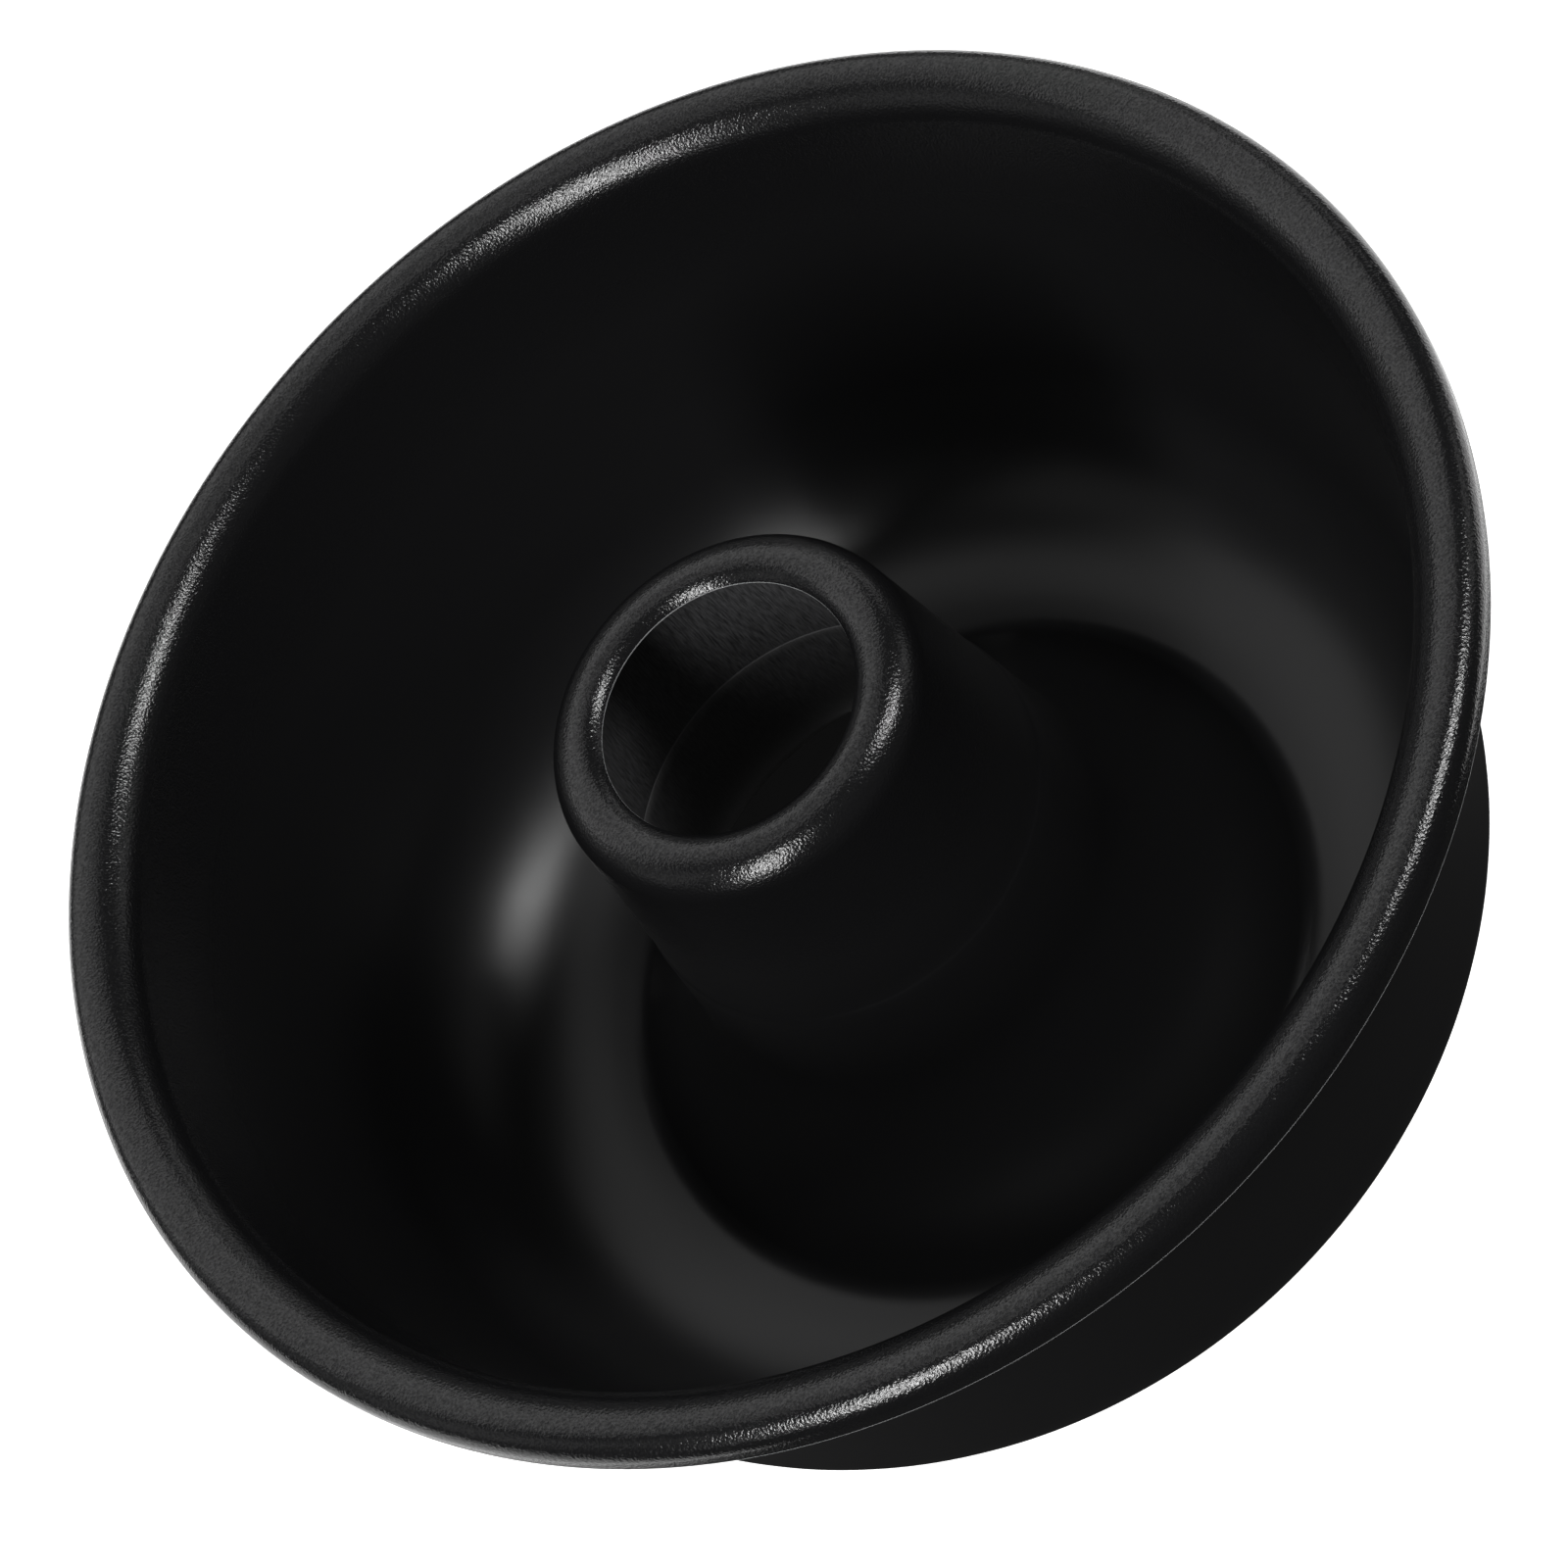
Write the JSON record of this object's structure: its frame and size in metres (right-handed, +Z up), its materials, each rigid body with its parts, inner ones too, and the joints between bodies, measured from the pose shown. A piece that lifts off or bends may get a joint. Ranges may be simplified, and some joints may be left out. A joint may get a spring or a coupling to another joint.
{
  "type": "ring cake pan",
  "caption": "Round ring pan with a tapered wall, a rounded floor, an open tapered centre tube and a rolled rim over a wire, for baking and turning out ring cakes.",
  "frame": {"origin": "centre of the pan's base, on the surface that it stands on", "axes": "+Z up along the axis of the tube and the rim; X and Y are any two square directions, as the pan is round"},
  "size_m": [0.2, 0.2, 0.0835],
  "materials": {
    "nonstick_steel": "black non-stick coat on drawn steel, fine satin grain",
    "steel_wire": "bare drawn steel wire, hidden in the rim"
  },
  "bodies": {
    "root": {"pan_shell": "nonstick_steel", "rim_wire": "steel_wire"}
  },
  "joints": []
}
